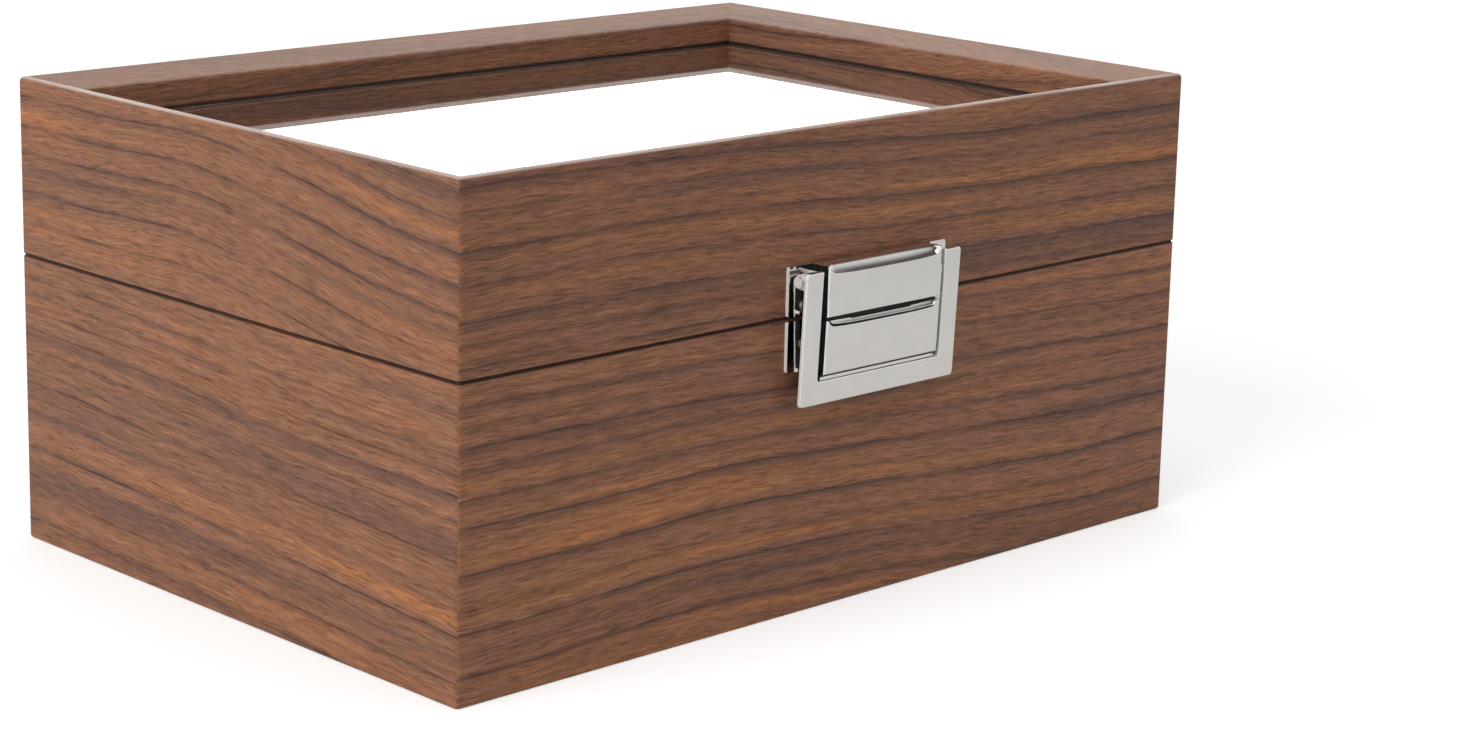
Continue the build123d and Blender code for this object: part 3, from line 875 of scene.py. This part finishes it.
def claspFlapPiece():
    half, arm, wide = clasp["half"], clasp["armWidth"], clasp["blockHalf"]
    top, foot, blockTop, blockFoot = clasp["top"], clasp["foot"], clasp["blockTop"], clasp["blockFoot"]
    bar = foot + clasp["barHeight"]
    footRound, topRound, windowTop, windowFoot = clasp["rounds"]
    outline = roundedCorners([
        (-half, foot, footRound), (half, foot, footRound),
        (half, top, topRound), (half - arm, top, windowTop), (half - arm, bar, windowFoot),
        (arm - half, bar, windowFoot), (arm - half, top, windowTop), (-half, top, topRound)])
    points, faces = [], []
    platePiece(points, faces, outline, clasp["front"], clasp["back"], clasp["edgeRound"])
    back = clasp["blockBack"]
    blockPiece(points, faces, blockFoot, blockTop, clasp["blockFront"], back, clasp["hollowBelow"])
    # sheet behind the block: a pale step, and painted shade in the dark slit below it and the dark line
    # above it
    sheet, behind, inset = clasp["sheetFront"], back + 0.05, clasp["sheetInset"]
    slitHeight, slitDepth = clasp["slit"]
    boxPiece(points, faces, (-wide, sheet, bar - 1.0), (wide, behind, blockFoot - slitHeight))
    boxPiece(points, faces, (-wide, sheet + slitDepth, bar), (wide, behind, blockFoot + 0.5))
    boxPiece(points, faces, (inset - wide, sheet, blockTop - 1.0),
             (wide - inset, behind, blockTop + clasp["sheetAbove"]))
    width, height, depth, nibTop = clasp["nib"]
    boxPiece(points, faces, (-width / 2, back - 0.1, nibTop - height), (width / 2, back + depth, nibTop))
    inset = clasp["bossInset"]
    bossPiece(points, faces, inset - half, arm - half - inset)
    bossPiece(points, faces, half - arm + inset, half - inset)
    flap = claspObject("claspFlap", points, faces, (clasp["middle"],) + clasp["pin"], clasp["lean"],
                       blockTop + 1.0, blockFoot - slitHeight + 0.02, sheet - 0.02)
    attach(flap, "flap")
    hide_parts("clasp_flap")


def claspUpperBlockPiece():
    points, faces = [], []
    blockPiece(points, faces, clasp["fixedFoot"], clasp["fixedTop"], clasp["fixedFront"],
               clasp["fixedBack"], clasp["hollow"])
    fixed = claspObject("claspUpperBlock", points, faces, (clasp["middle"], 0, 0), 0,
                        clasp["fixedTop"] - 0.01)
    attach(fixed, "lid")
    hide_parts("clasp_lid_block")


claspFlapPiece()
claspUpperBlockPiece()
print("clasp made")


# Watch pillows

pillow = {
    "corner": 0.015,
    "seamInset": 0.0032,    # end seams, in from the ends
    "drawIn": 0.0022,       # waist at the seams
    "groove": 0.0006,
    "grooveWidth": 0.0007,
    "endPull": 0.0086,
    "endDish": 0.00045,
    "around": 208,
    "ringsToSeam": 22,      # from the middle
    "wrinkle": 0.00042,
    "wrinklePitch": 0.0019,
    "wrinkleReach": 0.0042,
    "unevenness": 0.00045,
    "stitchPitch": 0.0021,
    "stitchLength": 0.00145,
    "stitchInset": 0.0011,  # from the seam
    "stitchLift": 0.00002,
    "threadRadius": 0.00016,
    "thread": (92, 87, 88),
    "threadTwist": 0.00005,
}


def roundedOutline(length, height, corner, count):
    # Equal steps round a rounded rectangle: point, outward normal, distance travelled
    straightY, straightZ = length / 2 - corner, height / 2 - corner
    arc = math.pi / 2 * corner
    sides = [2 * straightZ, arc, 2 * straightY, arc] * 2
    total = sum(sides)
    made = []
    for i in range(count):
        travelled = total * i / count
        s, side = travelled, 0
        while s > sides[side]:
            s -= sides[side]
            side += 1
        quarter = side // 2
        upright = quarter % 2 == 0
        if side % 2 == 0:
            local = Vector((length / 2, s - straightZ)) if upright else Vector((height / 2, s - straightY))
            normal = Vector((1, 0))
        else:
            angle = s / corner
            normal = Vector((math.cos(angle), math.sin(angle)))
            middle = Vector((straightY, straightZ)) if upright else Vector((straightZ, straightY))
            local = middle + normal * corner
        turn = Matrix.Rotation(quarter * math.pi / 2, 2)
        made.append((turn @ local, turn @ normal, travelled))
    return made


def pillowStations(half):
    # Places of the rings along the pillow, closer together round the seams
    seam = half - pillow["seamInset"]
    count = pillow["ringsToSeam"]
    spots = [seam * i / count for i in range(-count, count + 1)]
    for side in (-1, 1):
        for step in (0.12, 0.26, 0.42, 0.58, 0.72, 0.84, 0.93, 0.985):
            spots.append(side * (seam + pillow["seamInset"] * step))
        for step in (0.3, 0.7, 1.2):
            spots.append(side * (seam - 0.0003 * step))
    return sorted(set(spots)), seam


def pillowPiece(name, node, seed):
    low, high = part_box(node)
    middle = (low + high) / 2
    half = (high.x - low.x) / 2
    length, height = high.y - low.y, high.z - low.z
    outline = roundedOutline(length, height, pillow["corner"], pillow["around"])
    spots, seam = pillowStations(half)
    around = pillow["around"]

    def shrinkAt(x):
        t = min(1.0, abs(x) / seam)
        shrink = pillow["drawIn"] * t ** 2.5
        past = max(0.0, (abs(x) - seam) / pillow["seamInset"])
        shrink += pillow["endPull"] * past ** 2.6
        shrink += pillow["groove"] * math.exp(-((abs(x) - seam) / (pillow["grooveWidth"] / 2)) ** 2)
        return shrink

    def ruffle(x, travelled, normal):
        # gathers that fade away from the seams, over a slow unevenness
        away = abs(abs(x) - seam)
        near = math.exp(-away / pillow["wrinkleReach"]) * min(1.0, away / 0.0008)
        loop = travelled / pillow["wrinklePitch"]
        gather = noise.noise(Vector((loop, x / 0.011, seed)))
        gather += 0.5 * noise.noise(Vector((loop * 2.1, x / 0.008, seed + 5)))
        slow = noise.noise(Vector((travelled / 0.021, x / 0.017, seed + 9)))
        lift = pillow["wrinkle"] * near * gather + pillow["unevenness"] * (slow - 0.35)
        return min(lift, 0.00015) if normal.y < -0.7 else lift

    points = []
    for x in spots:
        shrink = shrinkAt(x)
        for place, normal, travelled in outline:
            reach = place - normal * (shrink - ruffle(x, travelled, normal))
            points.append((middle.x + x, middle.y + reach.x, middle.z + reach.y))
    faces = []
    joinRows(faces, 0, len(spots), around, capped=False)
    # end panels: the last rings run in to a short line in the middle
    flat = length / 2 - height / 2
    for side, first in ((-1, 0), (1, (len(spots) - 1) * around)):
        rim = list(range(first, first + around))
        last = rim
        for step in (0.12, 0.3, 0.52, 0.76, 0.93):
            ring = []
            for j in range(around):
                _, py, pz = points[rim[j]]
                core = max(-flat, min(flat, (py - middle.y) * 0.8))
                y = middle.y + (py - middle.y) * (1 - step) + core * step
                z = middle.z + (pz - middle.z) * (1 - step)
                pull = 0.00025 * noise.noise(Vector((py * 160, pz * 160, seed + side + step * 3)))
                dish = pillow["endDish"] * (1 - step) ** 2
                x = middle.x + side * (half - 0.00005 - dish + min(0.0, pull))
                ring.append(len(points))
                points.append((x, y, z))
            joinRings(faces, last, ring)
            last = ring
        # close the narrow slot across
        for j in range(around // 2 - 1):
            faces.append((last[j], last[j + 1], last[-2 - j], last[-1 - j]))
    made = meshObject(name, points, faces, pillowVelvet)
    return made, middle, seam, outline, shrinkAt


def stitchRun(name, middle, seam, outline, shrinkAt, material):
    # Short thread stitches just inside each end seam
    points, faces = [], []
    total = outline[-1][2] * len(outline) / (len(outline) - 1)
    count = int(total / pillow["stitchPitch"])
    thick, halfLength = pillow["threadRadius"], pillow["stitchLength"] / 2
    sides, along = 6, 5
    for side in (-1, 1):
        x = side * (seam - pillow["stitchInset"])
        for i in range(count):
            where = i / count * len(outline)
            place, normal, _ = outline[int(where)]
            following, _, _ = outline[(int(where) + 1) % len(outline)]
            place = place.lerp(following, where - int(where))
            tangent = Vector((-normal.y, normal.x))
            centre = place - normal * (shrinkAt(x) - pillow["stitchLift"])
            first = len(points)
            for a in range(along):
                t = a / (along - 1) * 2 - 1
                radius = thick * math.sqrt(max(0.05, 1 - t ** 4))
                sink = thick * 0.9 * t * t
                for b in range(sides):
                    angle = 2 * math.pi * b / sides
                    off = centre + tangent * (t * halfLength) + normal * (radius * math.sin(angle) - sink)
                    across = middle.x + x + radius * math.cos(angle)
                    points.append((across, middle.y + off.x, middle.z + off.y))
            joinRows(faces, first, along, sides)
    return meshObject(name, points, faces, material)


def sewingThread():
    material, tree, shader = startMaterial("sewing_thread")
    x, y, z = axesOf(tree, millimetres(tree))
    wound = point(tree, times(tree, x, 6.0), calc(tree, "ADD", y, z), y)
    twist = cloud(tree, wound, scale=3.0, detail=1)
    colour = twoTones(tree, twist, 0.35, scaled(pillow["thread"], 0.75), 0.65, pillow["thread"])
    dress(tree, shader, colour, spread(tree, twist, 0.3, 0.7, 0.75, 0.5), twist, pillow["threadTwist"])
    return material


threadMaterial = sewingThread()
for i, side in enumerate(("left", "middle", "right")):
    node = "pillow_" + side
    cushion, middle, seam, outline, shrinkAt = pillowPiece("watchPillow_" + side, node, 3.7 + 11 * i)
    thread = stitchRun("pillowThread_" + side, middle, seam, outline, shrinkAt, threadMaterial)
    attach(cushion, node)
    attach(thread, node)
    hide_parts(node)
print("watch pillows sewn")


# Floor pad

floorPad = {
    "cells": (146, 94),
    "edge": 0.0011,         # rounded edge
    "crown": 0.00016,
    "crownReach": 0.006,    # from the edge, where the crown is full
    "dividerReach": 0.004,  # and from the dividers
    "unevenness": 0.0001,
}


def floorPadPiece():
    low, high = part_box("floor_pad")
    dividers = [(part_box(n)[0].x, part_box(n)[1].x) for n in ("divider_left", "divider_right")]
    nx, ny = floorPad["cells"]

    def top(x, y):
        edge = min(x - low.x, high.x - x, y - low.y, high.y - y)
        swell = floorPad["crown"] + floorPad["unevenness"] * noise.noise(Vector((x * 90, y * 90, 4.2)))
        for x0, x1 in dividers:
            gap = max(x0 - x, x - x1, 0.0)
            swell *= min(1.0, gap / floorPad["dividerReach"])
        return high.z - rounding(edge, floorPad["edge"]) + swell * min(1.0, edge / floorPad["crownReach"])

    def lines(count, a, b):
        # closer together near both ends
        shares = [i / count for i in range(count + 1)]
        return [a + (b - a) * (t - 0.055 * math.sin(2 * math.pi * t)) for t in shares]

    xs, ys = lines(nx, low.x, high.x), lines(ny, low.y, high.y)
    points = [(x, y, top(x, y)) for y in ys for x in xs]
    points += [(x, y, low.z) for y in ys for x in xs]
    return meshObject("velvetFloorPad", points, slabFaces(nx, ny), liningVelvet)


padCover = floorPadPiece()
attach(padCover, "base")
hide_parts("floor_pad")
print("floor pad laid")


# Felt under the base

def feltPiece():
    low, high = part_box("base_underside_felt")
    nx, ny = felt["cells"]
    xs = [low.x + (high.x - low.x) * i / nx for i in range(nx + 1)]
    ys = [low.y + (high.y - low.y) * j / ny for j in range(ny + 1)]

    def under(x, y):
        edge = min(x - low.x, high.x - x, y - low.y, high.y - y)
        nap = felt["nap"] * (0.5 + 0.5 * noise.noise(Vector((x * 420, y * 420, 1.7))))
        return low.z + nap + felt["edge"] * max(0.0, 1 - edge / felt["edgeWidth"]) ** 2

    points = [(x, y, high.z) for y in ys for x in xs]
    points += [(x, y, under(x, y)) for y in ys for x in xs]
    return meshObject("undersideFelt", points, slabFaces(nx, ny), feltCloth())


feltSheet = feltPiece()
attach(feltSheet, "base")
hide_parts("base_underside_felt")
print("felt laid")


# Floor, world and lamps

studio = {
    "floorColour": (232, 232, 232),
    "floorGlow": 0.46,      # what the camera sees added to the floor, so that it reads white
    "mirroredGlow": 0.25,   # share of that glow that metal and gloss see
    "floorRadius": 6.0,
    "ambient": 0.30,        # world light that reaches the object
    "whiteTo": 0.40,        # sine of the height up to which metal sees the white background
    "dimFrom": 0.72,        # and above which it sees the dim ceiling
    "ceiling": 0.10,
    "aim": (0, 0, 0.05),    # where the lamps look
}


def straightRays(tree, rays):
    return calc(tree, "MAXIMUM", rays.outputs["Is Camera Ray"], rays.outputs["Is Transmission Ray"])


def studioFloor():
    mesh = bpy.data.meshes.new("studioFloor")
    shape = bmesh.new()
    bmesh.ops.create_circle(shape, cap_ends=True, segments=96, radius=studio["floorRadius"])
    shape.to_mesh(mesh)
    shape.free()
    made = addObject("studioFloor", mesh)
    material, tree, shader = startMaterial("pale_floor")
    paper = cloud(tree, millimetres(tree), scale=0.8, detail=3)
    dull = [value - 3 for value in studio["floorColour"]]
    feed(tree, shader.inputs["Base Color"], twoTones(tree, paper, 0.3, dull, 0.7, studio["floorColour"]))
    setInputs(shader, {"Roughness": 0.9, "Specular IOR Level": 0.0, "Emission Color": (1, 1, 1, 1)})
    rays = tree.nodes.new("ShaderNodeLightPath")
    seen = calc(tree, "MULTIPLY_ADD", rays.outputs["Is Glossy Ray"], studio["mirroredGlow"],
                straightRays(tree, rays))
    feed(tree, shader.inputs["Emission Strength"], times(tree, seen, studio["floorGlow"]))
    mesh.materials.append(material)


def studioWorld():
    world = bpy.data.worlds.new("studioWorld")
    scene.world = world
    world.use_nodes = True
    tree = world.node_tree
    tree.nodes.clear()
    output = tree.nodes.new("ShaderNodeOutputWorld")
    rays = tree.nodes.new("ShaderNodeLightPath")
    straight = straightRays(tree, rays)
    seen = calc(tree, "MAXIMUM", straight, rays.outputs["Is Glossy Ray"])
    rise = axesOf(tree, coordinates(tree, "Generated"))[2]
    fade = spread(tree, rise, studio["whiteTo"], studio["dimFrom"], 1.0, studio["ceiling"])
    white = tree.nodes.new("ShaderNodeBackground")
    feed(tree, white.inputs["Strength"], calc(tree, "MAXIMUM", straight, fade))
    soft = tree.nodes.new("ShaderNodeBackground")
    soft.inputs["Strength"].default_value = studio["ambient"]
    for background in (white, soft):
        background.inputs["Color"].default_value = (1, 1, 1, 1)
    either = mixShaders(tree, seen, soft.outputs[0], white.outputs[0])
    tree.links.new(either, output.inputs["Surface"])


# Place, size and power of each soft lamp
lamps = {
    "keyLeft": {"place": (-1.25, -0.15, 0.75), "size": (1.0, 0.9), "power": 10.6},
    "fillFront": {"place": (0.35, -1.5, 0.55), "size": (1.3, 0.9), "power": 0.8},
    "topSoft": {"place": (0.0, -0.25, 1.48), "size": (1.2, 1.2), "power": 6.4},
    "backPanel": {"place": (1.12, 1.14, 0.44), "size": (2.0, 0.84), "power": 8.2},
}


def softLamps():
    for name, lamp in lamps.items():
        data = bpy.data.lights.new(name, "AREA")
        data.shape = "RECTANGLE"
        data.size, data.size_y = lamp["size"]
        data.energy = lamp["power"]
        made = addObject(name, data)
        aimAt(made, lamp["place"], studio["aim"])
        made.visible_camera = False


studioFloor()
studioWorld()
softLamps()
print("studio set")
